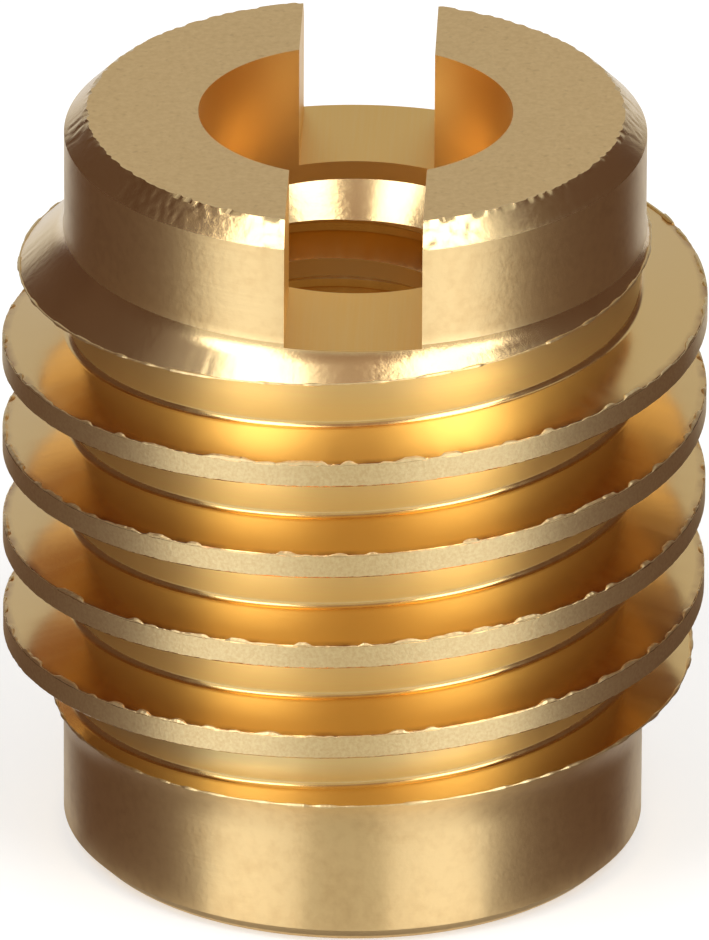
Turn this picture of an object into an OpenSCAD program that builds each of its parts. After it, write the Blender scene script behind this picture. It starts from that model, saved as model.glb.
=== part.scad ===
// Slotted self-tapping threaded insert, turned from one piece of brass bar.
// It stands on its plain pilot end with the screwdriver slot upward.
// Units are millimetres, +Z is up and the Z axis is the axis of the insert.

/* [Overall] */
// total length from the pilot end to the slotted face
body_h = 16.0; // [15:0.05:18]
// outside diameter over the coarse thread
thread_d = 14.4; // [13.8:0.1:15.4]

/* [Collar and slot] */
// diameter of the plain collar at the slotted end
collar_d = 11.86; // [11.2:0.02:12.4]
// height of the collar above the shoulder cone
collar_h = 2.64; // [2.2:0.02:3.2]
// length of the fillet where the shoulder cone meets the collar
collar_fillet = 0.3; // [0.1:0.02:0.5]
// 45 degree chamfer round the top edge of the collar
top_chamfer = 0.45; // [0.1:0.05:0.8]
// width of the screwdriver slot
slot_w = 2.78; // [1.6:0.02:3.4]
// depth of the screwdriver slot below the top face
slot_depth = 2.6; // [1.6:0.02:2.9]
// sideways offset of the milled slot from the axis
slot_offset = 0.14; // [-0.3:0.02:0.3]

/* [Pilot] */
// diameter of the plain pilot at the lower end
pilot_d = 11.92; // [11.2:0.02:12.4]
// height of the pilot below the lower cone
pilot_h = 2.9; // [2.0:0.05:3.6]
// edge break round the foot of the pilot
foot_break = 0.34; // [0.05:0.01:0.5]
// length of the fillet where the lower cone meets the pilot
pilot_fillet = 0.5; // [0.1:0.02:0.7]

/* [Coarse outside thread] */
// axial pitch of the coarse thread
pitch = 2.03; // [1.9:0.01:2.3]
// width of the flat crest
crest_w = 0.5; // [0.3:0.02:0.7]
// smallest diameter at the root of the thread
root_d = 11.64; // [11.2:0.02:12]
// slope of each flank away from the flat disc
flank_deg = 8; // [4:1:14]
// outward lean of the root wall toward the slotted end
root_taper_deg = 7; // [0:1:10]
// small flat that fills the lower corner between flank and root
root_fill = 0.15; // [0.05:0.01:0.2]
// height of the crest centre on the slot side facing -Y
crest_z = 5.12; // [4.8:0.01:5.4]

/* [Bore] */
// minor diameter of the inside thread, bored plain
tap_d = 5.12; // [4.6:0.02:5.6]
// diameter of the smooth counterbore under the slot
counterbore_d = 6.4; // [6:0.02:7.2]
// depth of the counterbore below the top face
counterbore_depth = 3.0; // [2.8:0.02:4]
// countersink at the foot of the bore
foot_csk = 0.5; // [0.2:0.05:1]

/* [Hidden] */
brass = [0.80, 0.66, 0.38];
eps = 0.02;
thread_r = thread_d / 2;
collar_r = collar_d / 2;
pilot_r = pilot_d / 2;
root_r = root_d / 2;
tap_r = tap_d / 2;
counterbore_r = counterbore_d / 2;
shoulder_z = body_h - collar_h;
slot_floor_z = body_h - slot_depth;
counterbore_z = body_h - counterbore_depth;

// groove section, measured from the root radius outward
cut_r = thread_r + 0.4 - root_r;
flank_run = tan(flank_deg);
root_half = (pitch - crest_w) / 2 - (thread_r - root_r) * flank_run;
lean = 2 * root_half * tan(root_taper_deg);
section = [
    [cut_r, -root_half - cut_r * flank_run],
    [root_fill, -root_half - root_fill * flank_run],
    [0, -root_half + root_fill * 0.8],
    [lean, root_half + lean * flank_run],
    [cut_r, root_half + cut_r * flank_run]
];
count = len(section);

// the groove starts and ends on the far side, where the tool lifts out
turn_step = 10;
t_first = -160;
t_full_low = -90;
t_full_high = 1560;
t_last = 1630;
lift_max = 0.9;
stations = floor((t_last - t_first) / turn_step);

// how far the tool has lifted out at turn angle t
function lift(t) =
    t < t_full_low ? lift_max * (t_full_low - t) / (t_full_low - t_first) :
    t > t_full_high ? lift_max * (t - t_full_high) / (t_last - t_full_high) : 0;

// one point of the groove: section point k at turn angle t
function groove_point(t, k) =
    let (r = root_r + lift(t) + section[k][0],
         z = crest_z - pitch / 2 + pitch * t / 360 + section[k][1])
    [r * cos(t - 90), r * sin(t - 90), z];

// helical groove swept by the threading tool, right hand
module thread_groove() {
    points = [for (i = [0 : stations]) for (k = [0 : count - 1])
        groove_point(t_first + i * turn_step, k)];
    sides_a = [for (i = [0 : stations - 1]) for (k = [0 : count - 1])
        let (n = (k + 1) % count)
        [i * count + k, (i + 1) * count + k, (i + 1) * count + n]];
    sides_b = [for (i = [0 : stations - 1]) for (k = [0 : count - 1])
        let (n = (k + 1) % count)
        [i * count + k, (i + 1) * count + n, i * count + n]];
    first_cap = [[for (k = [0 : count - 1]) k]];
    last_cap = [[for (k = [count - 1 : -1 : 0]) stations * count + k]];
    polyhedron(points = points, faces = concat(sides_a, sides_b, first_cap, last_cap),
        convexity = 10);
}

// one point of a fillet of the given length, a degrees round from the cylinder
function fillet_point(r, z, length, side, a) =
    let (bend = length / tan(22.5))
    [r + bend * (1 - cos(a)), z - side * (length - bend * sin(a))];

// turned outline: pilot, lower cone, full diameter, shoulder cone, collar
module blank() {
    lower_fillet = [for (a = [0, 15, 30, 45])
        fillet_point(pilot_r, pilot_h, pilot_fillet, 1, a)];
    upper_fillet = [for (a = [45, 30, 15, 0])
        fillet_point(collar_r, shoulder_z, collar_fillet, -1, a)];
    rotate_extrude($fn = 144)
        polygon(concat(
            [[0, 0], [pilot_r - foot_break, 0], [pilot_r, foot_break]],
            lower_fillet,
            [[thread_r, pilot_h + thread_r - pilot_r],
             [thread_r, shoulder_z - thread_r + collar_r]],
            upper_fillet,
            [[collar_r, body_h - top_chamfer], [collar_r - top_chamfer, body_h], [0, body_h]]
        ));
}

// through bore with its counterbore and countersinks
module bore() {
    rotate_extrude($fn = 96)
        polygon([
            [0, -1],
            [tap_r + foot_csk + 1, -1],
            [tap_r, foot_csk],
            [tap_r, counterbore_z - counterbore_r + tap_r],
            [counterbore_r, counterbore_z],
            [counterbore_r, body_h + 1],
            [0, body_h + 1]
        ]);
}

// screwdriver slot milled straight across the collar
module slot() {
    translate([slot_offset - slot_w / 2, -collar_r - 2, slot_floor_z])
        cube([slot_w, collar_d + 4, slot_depth + 1]);
}

module insert() {
    color(brass)
        difference() {
            blank();
            thread_groove();
            bore();
            slot();
        }
}

insert();
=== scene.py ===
"""Slotted self-tapping threaded insert, turned from one piece of brass bar."""
import math

import bmesh
import bpy
from mathutils import Matrix, Vector, noise


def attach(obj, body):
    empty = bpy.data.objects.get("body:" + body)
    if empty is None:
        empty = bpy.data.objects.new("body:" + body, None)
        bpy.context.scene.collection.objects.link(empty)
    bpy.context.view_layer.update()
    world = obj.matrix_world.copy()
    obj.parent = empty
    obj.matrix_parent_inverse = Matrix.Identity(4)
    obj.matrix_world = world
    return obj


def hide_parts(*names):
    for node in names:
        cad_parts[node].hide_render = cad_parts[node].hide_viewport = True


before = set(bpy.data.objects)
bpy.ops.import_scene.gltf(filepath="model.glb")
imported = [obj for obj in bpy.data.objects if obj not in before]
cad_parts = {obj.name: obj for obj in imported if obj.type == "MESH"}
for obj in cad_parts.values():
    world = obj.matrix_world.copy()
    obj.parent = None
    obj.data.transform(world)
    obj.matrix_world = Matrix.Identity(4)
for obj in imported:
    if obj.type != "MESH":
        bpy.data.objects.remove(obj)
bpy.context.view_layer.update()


# ---------------------------------------------------------------------------
# Camera: a long lens looks down at the slotted end, across the slot, so the
# insert shows its bore, both shoulders and every turn of the coarse thread.
# ---------------------------------------------------------------------------
MM = 0.001
VIEW_TURN = math.radians(1.75)
VIEW_RISE = math.radians(25.557)
VIEW_DISTANCE = 422 * MM
VIEW_ROLL = math.radians(0.2654)
AIM_HEIGHT = 8 * MM
AIM_RIGHT = 0.0088 * MM
AIM_DOWN = 0.084 * MM

camera_back = Vector((math.sin(VIEW_TURN) * math.cos(VIEW_RISE),
                      -math.cos(VIEW_TURN) * math.cos(VIEW_RISE),
                      math.sin(VIEW_RISE)))
camera_right = Vector((math.cos(VIEW_TURN), math.sin(VIEW_TURN), 0))
camera_up = camera_back.cross(camera_right)
camera_aim = Vector((0, 0, AIM_HEIGHT)) + camera_right * AIM_RIGHT - camera_up * AIM_DOWN

camera_data = bpy.data.cameras.new("long_lens")
camera_data.sensor_fit = "HORIZONTAL"
camera_data.sensor_width = 36
camera_data.lens = 1046
camera_data.clip_start = 0.01
camera_data.clip_end = 20
camera = bpy.data.objects.new("camera", camera_data)
bpy.context.scene.collection.objects.link(camera)
camera_axes = Matrix((camera_right, camera_up, camera_back)).transposed().to_4x4()
camera.matrix_world = (Matrix.Translation(camera_aim + camera_back * VIEW_DISTANCE)
                       @ camera_axes @ Matrix.Rotation(VIEW_ROLL, 4, "Z"))
bpy.context.scene.camera = camera


# ---------------------------------------------------------------------------
# Turned blank: free-cutting brass bar turned on a lathe to the pilot, the
# full diameter of the thread with a 45 degree cone at each end, and the
# collar, then bored and countersunk from the slotted end.
# ---------------------------------------------------------------------------
BODY_HEIGHT = 16.0
THREAD_R = 7.2
COLLAR_R = 5.93
COLLAR_HEIGHT = 2.64
TOP_CHAMFER = 0.45
PILOT_R = 5.96
PILOT_HEIGHT = 2.9
FOOT_BREAK = 0.34
COUNTERBORE_R = 3.2
COUNTERBORE_Z = 13.0
TAP_R = 2.56
FOOT_COUNTERSINK = 0.5
STEPS_A_TURN = 720

shoulder_z = BODY_HEIGHT - COLLAR_HEIGHT
blank_outline = [
    (TAP_R + FOOT_COUNTERSINK, 0),
    (PILOT_R - FOOT_BREAK, 0),
    (PILOT_R, FOOT_BREAK),
    (PILOT_R, PILOT_HEIGHT),
    (THREAD_R, PILOT_HEIGHT + THREAD_R - PILOT_R),
    (THREAD_R, shoulder_z - THREAD_R + COLLAR_R),
    (COLLAR_R, shoulder_z),
    (COLLAR_R, BODY_HEIGHT - TOP_CHAMFER),
    (COLLAR_R - TOP_CHAMFER, BODY_HEIGHT),
    (COUNTERBORE_R, BODY_HEIGHT),
    (COUNTERBORE_R, COUNTERBORE_Z),
    (TAP_R, COUNTERBORE_Z - COUNTERBORE_R + TAP_R),
    (TAP_R, FOOT_COUNTERSINK),
]


def draw_outline(outline):
    """A closed loop of edges in the X-Z plane, ready to be turned round Z."""
    shape = bmesh.new()
    corners = [shape.verts.new((r, 0, z)) for r, z in outline]
    for here, there in zip(corners, corners[1:] + corners[:1]):
        shape.edges.new((here, there))
    return shape


def turn(shape, degrees, steps, rise=0.0):
    """Sweeps the outline round Z, climbing by rise a step."""
    bmesh.ops.spin(shape, geom=shape.verts[:] + shape.edges[:], cent=(0, 0, 0), axis=(0, 0, 1),
                   dvec=(0, 0, rise), angle=math.radians(degrees), steps=steps,
                   use_merge=(degrees == 360 and rise == 0))


def make_object(name, shape):
    """Closes the bmesh into an object of the scene."""
    bmesh.ops.recalc_face_normals(shape, faces=shape.faces)
    mesh = bpy.data.meshes.new(name)
    shape.to_mesh(mesh)
    shape.free()
    made = bpy.data.objects.new(name, mesh)
    bpy.context.scene.collection.objects.link(made)
    return made


# Fillets lead from the cones into the pilot and the collar. The shoulder cone
# and the chamfer get extra rings, so that they can be torn: along each of these
# 45 degree bands, radius plus height is the same.
PILOT_FILLET = 0.5
COLLAR_FILLET = 0.3
SHOULDER_CUTS = 3
CHAMFER_CUTS = 8

blank_shape = draw_outline(blank_outline)
blank_shape.verts.ensure_lookup_table()
inner_corners = [(blank_shape.verts[3], PILOT_FILLET), (blank_shape.verts[6], COLLAR_FILLET)]
for corner, fillet in inner_corners:
    bmesh.ops.bevel(blank_shape, geom=[corner], offset=fillet, offset_type="OFFSET",
                    segments=6, profile=0.5, affect="VERTICES", material=-1)
for band, cuts in ((COLLAR_R + shoulder_z, SHOULDER_CUTS),
                   (COLLAR_R + BODY_HEIGHT - TOP_CHAMFER, CHAMFER_CUTS)):
    formed_edges = [edge for edge in blank_shape.edges
                    if all(abs(v.co.x + v.co.z - band) < 1e-4 for v in edge.verts)]
    bmesh.ops.subdivide_edges(blank_shape, edges=formed_edges, cuts=cuts)
turn(blank_shape, 360, STEPS_A_TURN)

# Torn chamfer: chips bite into the top face and the chamfer is lumpy, in patches.
# The shoulder cone has the same lumps, lower. Each BIAS shifts the noise, which
# sets how much of the rim is chipped, dented or torn.
CHIP_SIZE = 0.18
CHIP_DEPTH = 0.1
CHIP_BIAS = 0.2
LUMP_SIZE = 0.16
LUMP_HEIGHT = 0.02
LUMP_BIAS = 0.1
TORN_PATCH = 1.1
TORN_BIAS = 0.3
SHOULDER_LUMP_SHARE = 0.3
SMOOTH_INNER = 0.3
SMOOTH_OUTER = 0.1
CLOSE = 0.001

chamfer_r = COLLAR_R - TOP_CHAMFER
for vert in blank_shape.verts:
    radius = vert.co.xy.length
    outward = Vector((vert.co.x, vert.co.y, 0)).normalized()
    torn_here = max(0, noise.noise(vert.co / TORN_PATCH) + TORN_BIAS)
    lump = torn_here * noise.noise(vert.co / LUMP_SIZE)
    on_chamfer = vert.co.z > BODY_HEIGHT - TOP_CHAMFER + CLOSE and radius > chamfer_r - CLOSE
    on_shoulder = (abs(radius + vert.co.z - shoulder_z - COLLAR_R) < CLOSE
                   and COLLAR_R + SMOOTH_INNER < radius < THREAD_R - SMOOTH_OUTER)
    if on_chamfer and vert.co.z > BODY_HEIGHT - CLOSE:
        vert.co -= outward * CHIP_DEPTH * max(0, noise.noise(vert.co / CHIP_SIZE) + CHIP_BIAS)
    elif on_chamfer:
        vert.co += (outward + Vector((0, 0, 1))) * LUMP_HEIGHT * min(0, lump - LUMP_BIAS)
    elif on_shoulder:
        vert.co += (outward + Vector((0, 0, 1))) * LUMP_HEIGHT * SHOULDER_LUMP_SHARE * lump
blank = make_object("blank", blank_shape)


def srgb(code):
    """A sRGB hex colour as the linear RGBA that a shader takes."""
    parts = [int(code[i:i + 2], 16) / 255 for i in (1, 3, 5)]
    return [p / 12.92 if p <= 0.04045 else ((p + 0.055) / 1.055) ** 2.4 for p in parts] + [1]


def new_material(name):
    """An empty node material."""
    made = bpy.data.materials.new(name)
    made.use_nodes = True
    made.node_tree.nodes.clear()
    return made


def add_node(material, kind, sockets=None, **settings):
    """Adds a node, sets its own settings, and fills or links its sockets."""
    made = material.node_tree.nodes.new(kind)
    for name, value in settings.items():
        setattr(made, name, value)
    for key, value in (sockets or {}).items():
        if isinstance(value, bpy.types.NodeSocket):
            material.node_tree.links.new(value, made.inputs[key])
        else:
            made.inputs[key].default_value = value
    return made


# Turned yellow brass, on the collar, the pilot and the lower cone: a sharp tool
# leaves fine lines round the part, which smear reflections up and down. Handling
# dulls it a little in soft patches, and a film of cutting oil adds a white sheen.
BRASS = srgb("#F6D9A0")
BRASS_DULL = srgb("#DEBB82")
BRASS_STAIN = srgb("#9A6A45")
BRASS_CUT = srgb("#F7D088")
TURNING_PITCH = 0.09
TURNING_RUN = 4
TURNING_DEPTH = 0.0035
GRAIN_SIZE = 0.11
DULL_PATCH = 0.9
OIL_FILM = 0.4
OIL_ROUGHNESS = 0.3
BLOTCH_SIZE = 0.22

turned = new_material("turned_brass")
place = add_node(turned, "ShaderNodeTexCoord").outputs["Object"]
lines_place = add_node(turned, "ShaderNodeMapping", {
    "Vector": place,
    "Scale": (1 / (TURNING_RUN * MM), 1 / (TURNING_RUN * MM),
              1 / (TURNING_PITCH * MM))}).outputs[0]
lines = add_node(turned, "ShaderNodeTexNoise", {
    "Vector": lines_place, "Scale": 1, "Detail": 2}).outputs[0]
grain = add_node(turned, "ShaderNodeTexNoise", {
    "Vector": place, "Scale": 1 / (GRAIN_SIZE * MM), "Detail": 2}).outputs[0]
relief = add_node(turned, "ShaderNodeMath", {0: lines, 1: grain}, operation="ADD").outputs[0]
normal = add_node(turned, "ShaderNodeBump", {
    "Height": relief, "Distance": TURNING_DEPTH * MM, "Strength": 1}).outputs[0]
patches = add_node(turned, "ShaderNodeTexNoise", {
    "Vector": place, "Scale": 1 / (DULL_PATCH * MM), "Detail": 4, "Roughness": 0.6}).outputs[0]
blotches = add_node(turned, "ShaderNodeTexNoise", {
    "Vector": place, "Scale": 1 / (BLOTCH_SIZE * MM), "Detail": 3}).outputs[0]
mottled = add_node(turned, "ShaderNodeMath", {0: patches, 1: blotches},
                   operation="MULTIPLY").outputs[0]
dulled = add_node(turned, "ShaderNodeMapRange", {
    "Value": mottled, "From Min": 0.2, "From Max": 0.42, "To Max": 0.4}).outputs[0]
colour = add_node(turned, "ShaderNodeMix", {0: dulled, 6: BRASS, 7: BRASS_DULL},
                  data_type="RGBA").outputs[2]
gloss = add_node(turned, "ShaderNodeMapRange", {
    "Value": patches, "From Min": 0.35, "From Max": 0.7, "To Min": 0.43, "To Max": 0.47}).outputs[0]
tangent = add_node(turned, "ShaderNodeTangent", direction_type="RADIAL", axis="Z").outputs[0]
shader = add_node(turned, "ShaderNodeBsdfPrincipled", {
    "Base Color": colour, "Metallic": 1, "Roughness": gloss, "Anisotropic": 0.8,
    "Anisotropic Rotation": 0.25, "Tangent": tangent, "Normal": normal,
    "Coat Weight": OIL_FILM, "Coat Roughness": OIL_ROUGHNESS})
add_node(turned, "ShaderNodeOutputMaterial", {"Surface": shader.outputs[0]})

# Form-cut shoulder, chamfer and countersink, all facing up: the broad tool edge
# chatters and tears a little, which leaves small bright and dark facets.
TEAR_SIZE = 0.16
TEAR_DEPTH = 0.008
TEAR_PATCH = 2.2

formed = new_material("form_cut_brass")
place = add_node(formed, "ShaderNodeTexCoord").outputs["Object"]
tears = add_node(formed, "ShaderNodeTexNoise", {
    "Vector": place, "Scale": 1 / (TEAR_SIZE * MM), "Detail": 3, "Roughness": 0.55}).outputs[0]
where = add_node(formed, "ShaderNodeTexNoise", {
    "Vector": place, "Scale": 1 / (TEAR_PATCH * MM), "Detail": 2}).outputs[0]
torn = add_node(formed, "ShaderNodeMapRange", {
    "Value": where, "From Min": 0.42, "From Max": 0.62, "To Min": 0.25, "To Max": 0.8}).outputs[0]
normal = add_node(formed, "ShaderNodeBump", {
    "Height": tears, "Distance": TEAR_DEPTH * MM, "Strength": torn}).outputs[0]
colour = add_node(formed, "ShaderNodeMix", {0: torn, 6: BRASS, 7: BRASS_DULL},
                  data_type="RGBA").outputs[2]
shader = add_node(formed, "ShaderNodeBsdfPrincipled", {
    "Base Color": colour, "Metallic": 1, "Roughness": 0.22, "Normal": normal,
    "Coat Weight": OIL_FILM, "Coat Roughness": OIL_ROUGHNESS})
add_node(formed, "ShaderNodeOutputMaterial", {"Surface": shader.outputs[0]})

# Bored counterbore and drilled bore: the tool leaves a satin wall with only faint
# lines round it.
BORE_LINE = 0.06
BORE_RUN = 3
BORE_DEPTH = 0.0003

bored = new_material("bored_brass")
place = add_node(bored, "ShaderNodeTexCoord").outputs["Object"]
lines_place = add_node(bored, "ShaderNodeMapping", {
    "Vector": place,
    "Scale": (1 / (BORE_RUN * MM), 1 / (BORE_RUN * MM), 1 / (BORE_LINE * MM))}).outputs[0]
lines = add_node(bored, "ShaderNodeTexNoise", {
    "Vector": lines_place, "Scale": 1, "Detail": 2}).outputs[0]
normal = add_node(bored, "ShaderNodeBump", {
    "Height": lines, "Distance": BORE_DEPTH * MM, "Strength": 1}).outputs[0]
shader = add_node(bored, "ShaderNodeBsdfPrincipled", {
    "Base Color": BRASS_CUT, "Metallic": 1, "Roughness": 0.38, "Normal": normal,
    "Coat Weight": OIL_FILM, "Coat Roughness": OIL_ROUGHNESS})
add_node(bored, "ShaderNodeOutputMaterial", {"Surface": shader.outputs[0]})

# Faced ends: flat and satin, with a fine even grain and a few dark specks.
FACE_GRAIN = 0.12
FACE_DEPTH = 0.002
SPECK_SIZE = 0.16

faced = new_material("faced_brass")
place = add_node(faced, "ShaderNodeTexCoord").outputs["Object"]
grain = add_node(faced, "ShaderNodeTexNoise", {
    "Vector": place, "Scale": 1 / (FACE_GRAIN * MM), "Detail": 3, "Roughness": 0.6}).outputs[0]
normal = add_node(faced, "ShaderNodeBump", {
    "Height": grain, "Distance": FACE_DEPTH * MM, "Strength": 1}).outputs[0]
specks = add_node(faced, "ShaderNodeTexNoise", {
    "Vector": place, "Scale": 1 / (SPECK_SIZE * MM), "Detail": 1}).outputs[0]
stained = add_node(faced, "ShaderNodeMapRange", {
    "Value": specks, "From Min": 0.62, "From Max": 0.85, "To Max": 0.25}).outputs[0]
clean = add_node(faced, "ShaderNodeMix", {0: grain, 6: BRASS, 7: BRASS_DULL},
                 data_type="RGBA").outputs[2]
colour = add_node(faced, "ShaderNodeMix", {0: stained, 6: clean, 7: BRASS_STAIN},
                  data_type="RGBA").outputs[2]
shader = add_node(faced, "ShaderNodeBsdfPrincipled", {
    "Base Color": colour, "Metallic": 1, "Roughness": 0.5, "Normal": normal})
add_node(faced, "ShaderNodeOutputMaterial", {"Surface": shader.outputs[0]})


# ---------------------------------------------------------------------------
# Coarse outside thread: one V groove with steep flanks, cut in a helix by a
# single-point tool, so narrow flat crests stand between wide rounded roots.
# ---------------------------------------------------------------------------
PITCH = 2.03
CREST_WIDTH = 0.5
ROOT_R = 5.82
FLANK_ANGLE = math.radians(8)
ROOT_TAPER = math.radians(7)
ROOT_FILLET = 0.16
CREST_Z = 5.12
CREST_BREAK = 0.03
GROOVE_FIRST = -160
GROOVE_FULL_LOW = -90
GROOVE_FULL_HIGH = 1560
GROOVE_LAST = 1630
GROOVE_LIFT = 0.9
GROOVE_OVERCUT = 0.4
ROOT_STEPS = 5

# heights in the section are measured from the middle of the groove
groove_z = CREST_Z - PITCH / 2
mouth_half = (PITCH - CREST_WIDTH) / 2
flank_run = math.tan(FLANK_ANGLE)
fillet_r = ROOT_R + ROOT_FILLET
fillet_z = -mouth_half + (THREAD_R - fillet_r) * flank_run + ROOT_FILLET / math.cos(FLANK_ANGLE)
groove_section = [
    (THREAD_R + GROOVE_OVERCUT, -mouth_half - GROOVE_OVERCUT),
    (THREAD_R - CREST_BREAK, -mouth_half + CREST_BREAK * flank_run),
]
for step in range(ROOT_STEPS + 1):
    swing = FLANK_ANGLE + (math.pi / 2 - FLANK_ANGLE + ROOT_TAPER) * step / ROOT_STEPS
    groove_section.append((fillet_r - ROOT_FILLET * math.sin(swing),
                           fillet_z - ROOT_FILLET * math.cos(swing)))
top_r = ROOT_R + (mouth_half - (THREAD_R - ROOT_R) * flank_run) * 2 * math.tan(ROOT_TAPER)
groove_section += [
    (top_r, mouth_half - (THREAD_R - top_r) * flank_run),
    (THREAD_R - CREST_BREAK, mouth_half - CREST_BREAK * flank_run),
    (THREAD_R + GROOVE_OVERCUT, mouth_half + GROOVE_OVERCUT),
]
groove_outline = [(r, groove_z + z) for r, z in groove_section]


def sweep_groove(outline, first, last, pitch, steps_a_turn):
    """A helical cutter with flat ends: the outline swept from one turn angle to another.

    One length of about a turn is spun, and the rest are copies of it.
    """
    shape = draw_outline(outline)
    start = Matrix.Rotation(math.radians(first - 90), 4, "Z")
    start.translation.z = pitch * first / 360
    bmesh.ops.transform(shape, matrix=start, verts=shape.verts)
    lengths = math.ceil((last - first) / 360)
    degrees = (last - first) / lengths
    steps = round(degrees * steps_a_turn / 360)
    turn(shape, degrees, steps, pitch * degrees / 360 / steps)
    one_length = shape.verts[:] + shape.edges[:] + shape.faces[:]
    for n in range(1, lengths):
        copied = bmesh.ops.duplicate(shape, geom=one_length)["geom"]
        onward = Matrix.Rotation(math.radians(degrees) * n, 4, "Z")
        onward.translation.z = pitch * degrees * n / 360
        bmesh.ops.transform(shape, matrix=onward,
                            verts=[e for e in copied if isinstance(e, bmesh.types.BMVert)])
    bmesh.ops.remove_doubles(shape, verts=shape.verts, dist=1e-4)
    bmesh.ops.holes_fill(shape, edges=shape.edges, sides=0)
    return shape


# at both ends the tool lifts away from the axis, so the groove runs out
groove_shape = sweep_groove(groove_outline, GROOVE_FIRST, GROOVE_LAST, PITCH, STEPS_A_TURN)
for vert in groove_shape.verts:
    turn_angle = math.degrees(math.atan2(vert.co.y, vert.co.x)) + 90
    turns = round((vert.co.z - groove_z) / PITCH - turn_angle / 360)
    turn_angle += 360 * turns
    lift = max(0, (GROOVE_FULL_LOW - turn_angle) / (GROOVE_FULL_LOW - GROOVE_FIRST),
               (turn_angle - GROOVE_FULL_HIGH) / (GROOVE_LAST - GROOVE_FULL_HIGH))
    radius = vert.co.xy.length
    vert.co.xy *= (radius + GROOVE_LIFT * lift) / radius
groove = make_object("groove", groove_shape)

# Cut thread: the tool burnishes the flanks bright, with fine lines along the
# helix and faint chatter across it. Handling has stained it toward the rim.
FEED_LINE = 0.05
FLANK_DEPTH = 0.0002
CHATTER_WIDTH = 0.35
STAIN_SIZE = 0.7
STAIN_BAND = 0.2

flank = new_material("burnished_thread_brass")
place = add_node(flank, "ShaderNodeTexCoord").outputs["Object"]
axes = add_node(flank, "ShaderNodeSeparateXYZ", {0: place}).outputs
flat_place = add_node(flank, "ShaderNodeCombineXYZ", {0: axes[0], 1: axes[1]}).outputs[0]
radius = add_node(flank, "ShaderNodeVectorMath", {0: flat_place}, operation="LENGTH").outputs[1]
lines_place = add_node(flank, "ShaderNodeCombineXYZ", {0: radius, 1: axes[2]}).outputs[0]
lines = add_node(flank, "ShaderNodeTexNoise", {
    "Vector": lines_place, "Scale": 1 / (FEED_LINE * MM), "Detail": 2}).outputs[0]
chatter_place = add_node(flank, "ShaderNodeVectorMath", {0: flat_place}, operation="NORMALIZE")
chatter = add_node(flank, "ShaderNodeTexNoise", {
    "Vector": chatter_place.outputs[0], "Scale": THREAD_R / CHATTER_WIDTH,
    "Detail": 3}).outputs[0]
relief = add_node(flank, "ShaderNodeMath", {0: lines, 1: chatter}, operation="ADD").outputs[0]
normal = add_node(flank, "ShaderNodeBump", {
    "Height": relief, "Distance": FLANK_DEPTH * MM, "Strength": 1}).outputs[0]
gloss = add_node(flank, "ShaderNodeMapRange", {
    "Value": chatter, "From Min": 0.35, "From Max": 0.7, "To Min": 0.16, "To Max": 0.22}).outputs[0]
rim = add_node(flank, "ShaderNodeMapRange", {
    "Value": radius, "From Min": (THREAD_R - STAIN_BAND) * MM, "From Max": THREAD_R * MM}).outputs[0]
handled = add_node(flank, "ShaderNodeTexNoise", {
    "Vector": place, "Scale": 1 / (STAIN_SIZE * MM), "Detail": 3}).outputs[0]
stained = add_node(flank, "ShaderNodeMapRange", {
    "Value": handled, "From Min": 0.42, "From Max": 0.66, "To Min": 0.25}).outputs[0]
stained = add_node(flank, "ShaderNodeMath", {0: rim, 1: stained}, operation="MULTIPLY").outputs[0]
colour = add_node(flank, "ShaderNodeMix", {0: stained, 6: BRASS_CUT, 7: BRASS_STAIN},
                  data_type="RGBA").outputs[2]
shader = add_node(flank, "ShaderNodeBsdfPrincipled", {
    "Base Color": colour, "Metallic": 1, "Roughness": gloss, "Normal": normal,
    "Coat Weight": OIL_FILM, "Coat Roughness": OIL_ROUGHNESS})
add_node(flank, "ShaderNodeOutputMaterial", {"Surface": shader.outputs[0]})

# The root wall is cut by the blunt nose of the tool, and stays a little softer.
ROOT_LINE = 0.04
ROOT_RUN = 2
ROOT_DEPTH = 0.0003
BRASS_PALE = srgb("#F4E2A0")

root = new_material("root_wall_brass")
place = add_node(root, "ShaderNodeTexCoord").outputs["Object"]
lines_place = add_node(root, "ShaderNodeMapping", {
    "Vector": place,
    "Scale": (1 / (ROOT_RUN * MM), 1 / (ROOT_RUN * MM), 1 / (ROOT_LINE * MM))}).outputs[0]
lines = add_node(root, "ShaderNodeTexNoise", {
    "Vector": lines_place, "Scale": 1, "Detail": 2}).outputs[0]
normal = add_node(root, "ShaderNodeBump", {
    "Height": lines, "Distance": ROOT_DEPTH * MM, "Strength": 1}).outputs[0]
colour = add_node(root, "ShaderNodeMix", {0: lines, 6: BRASS, 7: BRASS_PALE},
                  data_type="RGBA").outputs[2]
shader = add_node(root, "ShaderNodeBsdfPrincipled", {
    "Base Color": colour, "Metallic": 1, "Roughness": 0.42, "Normal": normal,
    "Coat Weight": OIL_FILM, "Coat Roughness": OIL_ROUGHNESS})
add_node(root, "ShaderNodeOutputMaterial", {"Surface": shader.outputs[0]})

# The crests keep the pale, dull skin of the bar, with a grain like fine grit.
CREST_GRAIN = 0.07
CREST_DEPTH = 0.005
BAR_SKIN = srgb("#F8E3B0")

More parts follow.
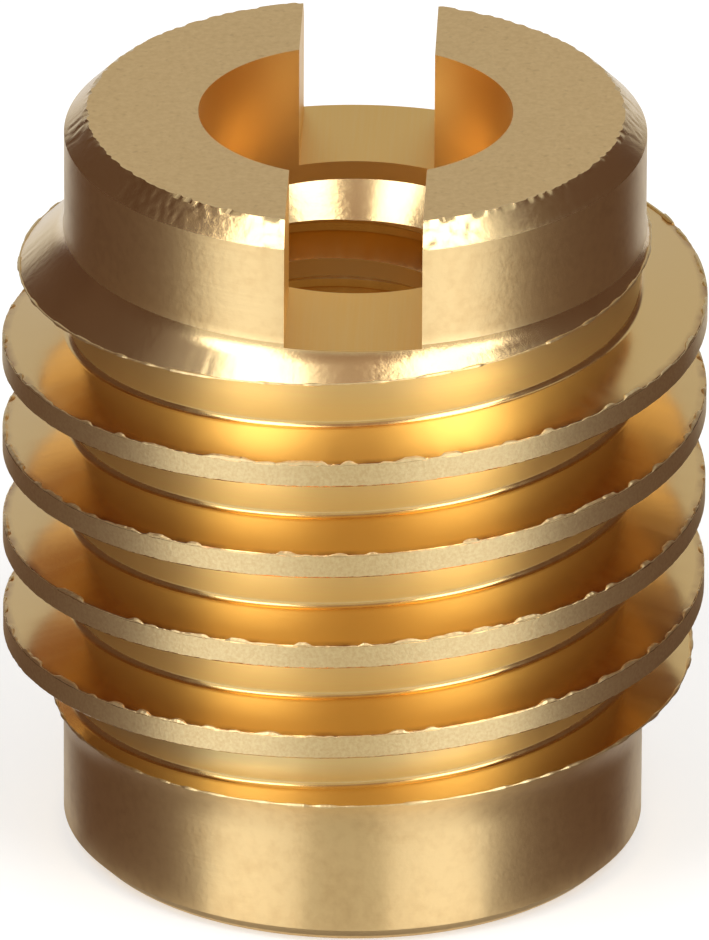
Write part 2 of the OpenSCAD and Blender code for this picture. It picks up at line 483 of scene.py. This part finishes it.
crest = new_material("matt_crest_brass")
place = add_node(crest, "ShaderNodeTexCoord").outputs["Object"]
grain = add_node(crest, "ShaderNodeTexNoise", {
    "Vector": place, "Scale": 1 / (CREST_GRAIN * MM), "Detail": 3, "Roughness": 0.6}).outputs[0]
normal = add_node(crest, "ShaderNodeBump", {
    "Height": grain, "Distance": CREST_DEPTH * MM, "Strength": 1}).outputs[0]
dulled = add_node(crest, "ShaderNodeMapRange", {
    "Value": grain, "From Min": 0.35, "From Max": 0.7, "To Min": 0.5, "To Max": 0}).outputs[0]
colour = add_node(crest, "ShaderNodeMix", {0: dulled, 6: BAR_SKIN, 7: BRASS_DULL},
                  data_type="RGBA").outputs[2]
tangent = add_node(crest, "ShaderNodeTangent", direction_type="RADIAL", axis="Z").outputs[0]
shader = add_node(crest, "ShaderNodeBsdfPrincipled", {
    "Base Color": colour, "Metallic": 1, "Roughness": 0.45, "Anisotropic": 0.6,
    "Anisotropic Rotation": 0.25, "Tangent": tangent, "Normal": normal})
add_node(crest, "ShaderNodeOutputMaterial", {"Surface": shader.outputs[0]})


# ---------------------------------------------------------------------------
# Inside thread: a tapped 60 degree thread, 1.27 mm pitch, down the whole bore.
# The tap cuts it after the bore is countersunk, so it starts on the cone. It
# leaves the same burnished brass as the threading tool.
# ---------------------------------------------------------------------------
TAP_PITCH = 1.27
TAP_MAJOR_R = 3.175
TAP_LAND = 0.39
TAP_LAND_Z = 11.28
TAP_HALF_ANGLE = math.radians(30)
TAP_OVERCUT = 0.3
TAP_TURNS = 13.5
TAP_TURNS_BELOW = 11
TAP_STEPS = 240

tap_depth = TAP_MAJOR_R - TAP_R
tap_half = (TAP_PITCH - TAP_LAND) / 2
tap_root_half = tap_half - tap_depth * math.tan(TAP_HALF_ANGLE)
tap_outline = [
    (TAP_R - TAP_OVERCUT, -tap_half - TAP_OVERCUT * math.tan(TAP_HALF_ANGLE)),
    (TAP_R, -tap_half),
    (TAP_MAJOR_R, -tap_root_half),
    (TAP_MAJOR_R, tap_root_half),
    (TAP_R, tap_half),
    (TAP_R - TAP_OVERCUT, tap_half + TAP_OVERCUT * math.tan(TAP_HALF_ANGLE)),
]
tap_z = TAP_LAND_Z + TAP_PITCH / 2 - TAP_PITCH * (TAP_TURNS_BELOW + 0.5)
tap_shape = sweep_groove([(r, tap_z + z) for r, z in tap_outline], 0, 360 * TAP_TURNS, TAP_PITCH,
                         TAP_STEPS)
tap = make_object("tap", tap_shape)


# ---------------------------------------------------------------------------
# Screwdriver slot: milled straight across the collar with a slitting saw, a
# little off centre, down to just above the foot of the counterbore.
# ---------------------------------------------------------------------------
SLOT_WIDTH = 2.78
SLOT_FLOOR_Z = 13.4
SLOT_OFFSET = 0.14
SAW_TRAVEL = 16
SAW_CLEARANCE = 4

slot_shape = bmesh.new()
bmesh.ops.create_cube(slot_shape, size=1)
bmesh.ops.scale(slot_shape, vec=(SLOT_WIDTH, SAW_TRAVEL, SAW_CLEARANCE), verts=slot_shape.verts)
bmesh.ops.translate(slot_shape, vec=(SLOT_OFFSET, 0, SLOT_FLOOR_Z + SAW_CLEARANCE / 2),
                    verts=slot_shape.verts)
slot_cutter = make_object("slot_cutter", slot_shape)

# Milled slot: saw marks run along the slot, so it smears reflections sideways.
# Its deep gold colour is partly the brass and partly a painted reflection of
# the gold of its own walls.
SAW_MARK = 0.06
SAW_RUN = 3
SAW_DEPTH = 0.003
BRASS_GOLD_AND_WALL_REFLECTION = srgb("#F8C868")

milled = new_material("milled_brass")
place = add_node(milled, "ShaderNodeTexCoord").outputs["Object"]
lines_place = add_node(milled, "ShaderNodeMapping", {
    "Vector": place,
    "Scale": (1 / (SAW_MARK * MM), 1 / (SAW_RUN * MM), 1 / (SAW_MARK * MM))}).outputs[0]
lines = add_node(milled, "ShaderNodeTexNoise", {
    "Vector": lines_place, "Scale": 1, "Detail": 3}).outputs[0]
normal = add_node(milled, "ShaderNodeBump", {
    "Height": lines, "Distance": SAW_DEPTH * MM, "Strength": 1}).outputs[0]
worn = add_node(milled, "ShaderNodeMath", {0: lines, 1: 0.35}, operation="MULTIPLY").outputs[0]
# painted reflection: the deep gold mixed in here partly stands for the slot walls seen in the floor
colour = add_node(milled, "ShaderNodeMix", {0: worn, 6: BRASS_GOLD_AND_WALL_REFLECTION, 7: BRASS},
                  data_type="RGBA").outputs[2]
tangent = add_node(milled, "ShaderNodeTangent", direction_type="RADIAL", axis="X").outputs[0]
shader = add_node(milled, "ShaderNodeBsdfPrincipled", {
    "Base Color": colour, "Metallic": 1, "Roughness": 0.42, "Anisotropic": 0.7,
    "Anisotropic Rotation": 0.25, "Tangent": tangent, "Normal": normal})
add_node(milled, "ShaderNodeOutputMaterial", {"Surface": shader.outputs[0]})


# ---------------------------------------------------------------------------
# Insert: the one solid piece of brass, with the thread, the tapped thread and
# the slot cut out of the blank. Each tool leaves its own finish where it cuts.
# ---------------------------------------------------------------------------
FLAT_FACE = 0.99
CONE_LEAST = 0.3
CONE_MOST = 0.9
WALL_FACE = 0.2
SKIN = 0.01

finishes = [turned, formed, flank, root, crest, bored, milled, faced]


def blank_finish(face):
    """The finish left by the turning tool that cut this face of the blank."""
    radius = face.center.xy.length
    if abs(face.normal.z) > FLAT_FACE:
        return faced
    if radius > THREAD_R - SKIN:
        return crest
    if CONE_LEAST < face.normal.z < CONE_MOST:
        return formed
    if radius < COUNTERBORE_R + SKIN:
        return bored
    return turned


for cutter, cutter_finish in ((groove, flank), (tap, flank), (slot_cutter, milled)):
    for made in finishes:
        cutter.data.materials.append(made)
    for face in cutter.data.polygons:
        face.material_index = finishes.index(cutter_finish)
    cut = blank.modifiers.new(cutter.name, "BOOLEAN")
    cut.operation = "DIFFERENCE"
    cut.solver = "MANIFOLD"
    cut.object = cutter
for face in groove.data.polygons:
    if abs(face.normal.z) < WALL_FACE:
        face.material_index = finishes.index(root)
for made in finishes:
    blank.data.materials.append(made)
for face in blank.data.polygons:
    face.material_index = finishes.index(blank_finish(face))

bpy.context.view_layer.update()
depsgraph = bpy.context.evaluated_depsgraph_get()
insert_mesh = bpy.data.meshes.new_from_object(blank.evaluated_get(depsgraph))
insert = bpy.data.objects.new("brass_insert", insert_mesh)
bpy.context.scene.collection.objects.link(insert)
for used in (blank, groove, tap, slot_cutter):
    bpy.data.objects.remove(used)

finish = bmesh.new()
finish.from_mesh(insert_mesh)
bmesh.ops.remove_doubles(finish, verts=finish.verts, dist=0.0005)
for face in finish.faces:
    face.smooth = True

# The threading tool leaves the crest edges a little ragged.
RAG_SIZE = 0.13
RAG_HEIGHT = 0.015
SHARP_ANGLE = math.radians(18)

for vert in finish.verts:
    beside = {finishes[face.material_index] for face in vert.link_faces}
    if flank in beside and crest in beside:
        vert.co.z += RAG_HEIGHT * (noise.noise(vert.co / RAG_SIZE)
                                   + 0.5 * noise.noise(vert.co / (RAG_SIZE * 0.4)))
for edge in finish.edges:
    edge.smooth = edge.calc_face_angle(0) < SHARP_ANGLE

# the burr starts from this copy, still in millimetres like all the work so far
burr_shape = finish.copy()
bmesh.ops.scale(finish, vec=(MM, MM, MM), verts=finish.verts)
finish.to_mesh(insert_mesh)
finish.free()
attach(insert, "root")
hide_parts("insert")


# ---------------------------------------------------------------------------
# Thread burr: brass that the threading tool pushes up, thin and beaded. It
# stands along the edges where the groove breaks through a cone, and in short
# dashes along the upper edge of each crest. It is as pale and dull as they are.
# ---------------------------------------------------------------------------
CONE_BURR_R = 0.018
CREST_BURR_R = 0.015
CONE_BEAD_R = 0.06
CREST_BEAD_R = 0.11
BEAD_SIZE = 0.4
BEAD_BIAS = 0.1
BEAD_LIMIT = 0.4
CREST_BAND = 0.05
CREST_LIFT = 0.4
BORE_MARGIN = 0.1
FACES_UP = 0.5


def has_burr(edge):
    """True for an edge of the outside groove that carries a burr."""
    if edge.verts[0].co.xy.length < COUNTERBORE_R + BORE_MARGIN:
        return False
    beside = {finishes[face.material_index] for face in edge.link_faces}
    if beside == {flank, crest}:
        return any(face.normal.z > FACES_UP for face in edge.link_faces)
    return beside in ({flank, formed}, {flank, turned})


# the burr follows those edges of the insert, as a tube with beads
others = [edge for edge in burr_shape.edges if not has_burr(edge)]
bmesh.ops.delete(burr_shape, geom=others, context="EDGES_FACES")
loose = [vert for vert in burr_shape.verts if not vert.link_edges]
bmesh.ops.delete(burr_shape, geom=loose, context="VERTS")
burr_path = make_object("burr_path", burr_shape)
with bpy.context.temp_override(active_object=burr_path, object=burr_path,
                               selected_objects=[burr_path],
                               selected_editable_objects=[burr_path]):
    bpy.ops.object.convert(target="CURVE")
burr_path.data.bevel_depth = MM
burr_path.data.bevel_resolution = 1
burr_path.data.use_fill_caps = True
for spline in burr_path.data.splines:
    for point in spline.points:
        at = point.co.xyz
        bead = min(BEAD_LIMIT, max(0, noise.noise(at / BEAD_SIZE) + BEAD_BIAS))
        if at.xy.length > THREAD_R - CREST_BAND:
            point.radius = CREST_BURR_R + CREST_BEAD_R * bead
            at.z += point.radius * CREST_LIFT
        else:
            point.radius = CONE_BURR_R + CONE_BEAD_R * bead
        at.xy *= min(1, (THREAD_R - point.radius) / at.xy.length)
        point.co = (*(at * MM), 1)
bpy.context.view_layer.update()
depsgraph = bpy.context.evaluated_depsgraph_get()
burr_mesh = bpy.data.meshes.new_from_object(burr_path.evaluated_get(depsgraph))
burr = bpy.data.objects.new("thread_burr", burr_mesh)
bpy.context.scene.collection.objects.link(burr)
bpy.data.objects.remove(burr_path)
burr_mesh.materials.clear()
burr_mesh.materials.append(crest)
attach(burr, "root")


# ---------------------------------------------------------------------------
# Studio: a pale floor, two high softboxes either side of the camera, a dim white
# world, and dark, grey and white cards that only the metal reflects. The camera
# sees the floor lifted toward white, and the metal sees less of that lift.
# ---------------------------------------------------------------------------
FLOOR_REACH = 3
FLOOR_LIFT = 0.36
GLOSSY_SHARE = 0.21

floor_shape = bmesh.new()
bmesh.ops.create_grid(floor_shape, x_segments=1, y_segments=1, size=FLOOR_REACH)
floor = make_object("floor", floor_shape)
floor_paint = new_material("pale_card")
ray = add_node(floor_paint, "ShaderNodeLightPath").outputs
direct = add_node(floor_paint, "ShaderNodeMath", {
    0: ray["Is Camera Ray"], 1: ray["Is Transmission Ray"]}, operation="ADD").outputs[0]
seen = add_node(floor_paint, "ShaderNodeMath", {
    0: ray["Is Glossy Ray"], 1: GLOSSY_SHARE, 2: direct}, operation="MULTIPLY_ADD").outputs[0]
lift = add_node(floor_paint, "ShaderNodeMath", {0: seen, 1: FLOOR_LIFT},
                operation="MULTIPLY").outputs[0]
floor_shader = add_node(floor_paint, "ShaderNodeBsdfPrincipled", {
    "Base Color": srgb("#E0DFDD"), "Roughness": 0.8,
    "Emission Color": srgb("#FFFFFF"), "Emission Strength": lift})
add_node(floor_paint, "ShaderNodeOutputMaterial", {"Surface": floor_shader.outputs[0]})
floor.data.materials.append(floor_paint)

# Both softboxes stand at the same distance, in metres as their sizes are.
LAMP_DISTANCE = 0.6


def add_softbox(name, azimuth, elevation, roll, width, height, radiance):
    """A rectangular lamp that faces the insert; azimuth is measured from the camera side."""
    lamp = bpy.data.lights.new(name, "AREA")
    lamp.shape = "RECTANGLE"
    lamp.size = width
    lamp.size_y = height
    lamp.energy = radiance * math.pi * width * height
    a = math.radians(azimuth)
    e = math.radians(elevation)
    toward = Vector((math.sin(a) * math.cos(e), -math.cos(a) * math.cos(e), math.sin(e)))
    made = bpy.data.objects.new(name, lamp)
    bpy.context.scene.collection.objects.link(made)
    made.location = toward * LAMP_DISTANCE + Vector((0, 0, AIM_HEIGHT))
    facing = toward.to_track_quat("Z", "Y").to_matrix().to_4x4()
    facing = facing @ Matrix.Rotation(math.radians(roll), 4, "Z")
    made.rotation_euler = facing.to_euler()


add_softbox("softbox_left", -46, 43, 10, 0.3, 0.52, 3.5)
add_softbox("softbox_right", 44, 43, 0, 0.32, 0.52, 3.5)

# Cards that only the metal reflects, as painted reflections: each is a glowing fan,
# flat at its height above the floor, from an arc near the insert to an arc far
# from it. With a rise, its far edge is turned up, or down where the rise is below zero.
CARD_REACH = 104
CARD_STEPS = 24


def add_card(name, code, near, far, rise, height=0.1):
    """A fan between two arcs, each given as (reach, first azimuth, last azimuth)."""
    painted_reflection = new_material(name)
    glow = add_node(painted_reflection, "ShaderNodeEmission", {"Color": srgb(code), "Strength": 1})
    add_node(painted_reflection, "ShaderNodeOutputMaterial", {"Surface": glow.outputs[0]})
    shape = bmesh.new()
    rows = []
    for reach, first, last in (near, far):
        start = math.radians(first - 90)
        corner = shape.verts.new((reach * math.cos(start), reach * math.sin(start), height))
        bmesh.ops.spin(shape, geom=[corner], cent=(0, 0, 0), axis=(0, 0, 1), dvec=(0, 0, 0),
                       angle=math.radians(last - first), steps=CARD_STEPS)
        rows.append([e for e in shape.edges if not e.tag])
        for edge in shape.edges:
            edge.tag = True
    bmesh.ops.bridge_loops(shape, edges=rows[0] + rows[1])
    if rise:
        raised = bmesh.ops.extrude_edge_only(shape, edges=rows[1])["geom"]
        bmesh.ops.translate(shape, vec=(0, 0, rise),
                            verts=[e for e in raised if isinstance(e, bmesh.types.BMVert)])
    bmesh.ops.scale(shape, vec=(MM, MM, MM), verts=shape.verts)
    card = make_object(name, shape)
    card.data.materials.append(painted_reflection)
    card.visible_camera = False
    card.visible_diffuse = False
    card.visible_shadow = False
    card.visible_transmission = False


# These glowing cards are painted reflections, seen only in the metal: dark at the sides, grey in
# front, white beside the softboxes and dim overhead.
add_card("dark_left", "#5C463C", (6.3, -30, -74), (CARD_REACH, -59, -146), 170)
add_card("dark_right", "#5C463C", (6.3, 30, 74), (CARD_REACH, 59, 146), 130)
add_card("dark_rear_left", "#8A7060", (11, -112, -152), (24, -125, -156), 0)
add_card("dark_rear_right", "#5C463C", (11, 112, 152), (24, 125, 156), 0)
add_card("grey_front", "#BDB6A8", (6.3, -9, 9), (CARD_REACH, -17.6, 17.6), 48)
add_card("white_left", "#EFECE6", (103, -18, -59), (CARD_REACH, -18, -59), 48)
add_card("white_right", "#EFECE6", (103, 18, 59), (CARD_REACH, 18, 59), 48)
# Painted shadow: a dark ring round the foot where the contact shadow falls, seen only in the metal.
add_card("foot_shade", "#8A7F74", (5.5, -179, 180), (6.2, -179, 180), 0)
# Painted light: a glowing disc inside the bore, no lamp, that brightens the bore and the tapped
# thread in reflection.
add_card("bore_light", "#94949C", (0.1, -179, 180), (2.5, -179, 180), 0, 7)
add_card("dusk_above", "#9A8070", (40, -24, 24), (300, -24, 24), -160, 300)

WORLD_STRENGTH = 0.52

world = bpy.data.worlds.new("studio")
world.use_nodes = True
world.node_tree.nodes["Background"].inputs["Color"].default_value = srgb("#FFFFFF")
world.node_tree.nodes["Background"].inputs["Strength"].default_value = WORLD_STRENGTH
bpy.context.scene.world = world
bpy.context.scene.view_settings.view_transform = "Standard"
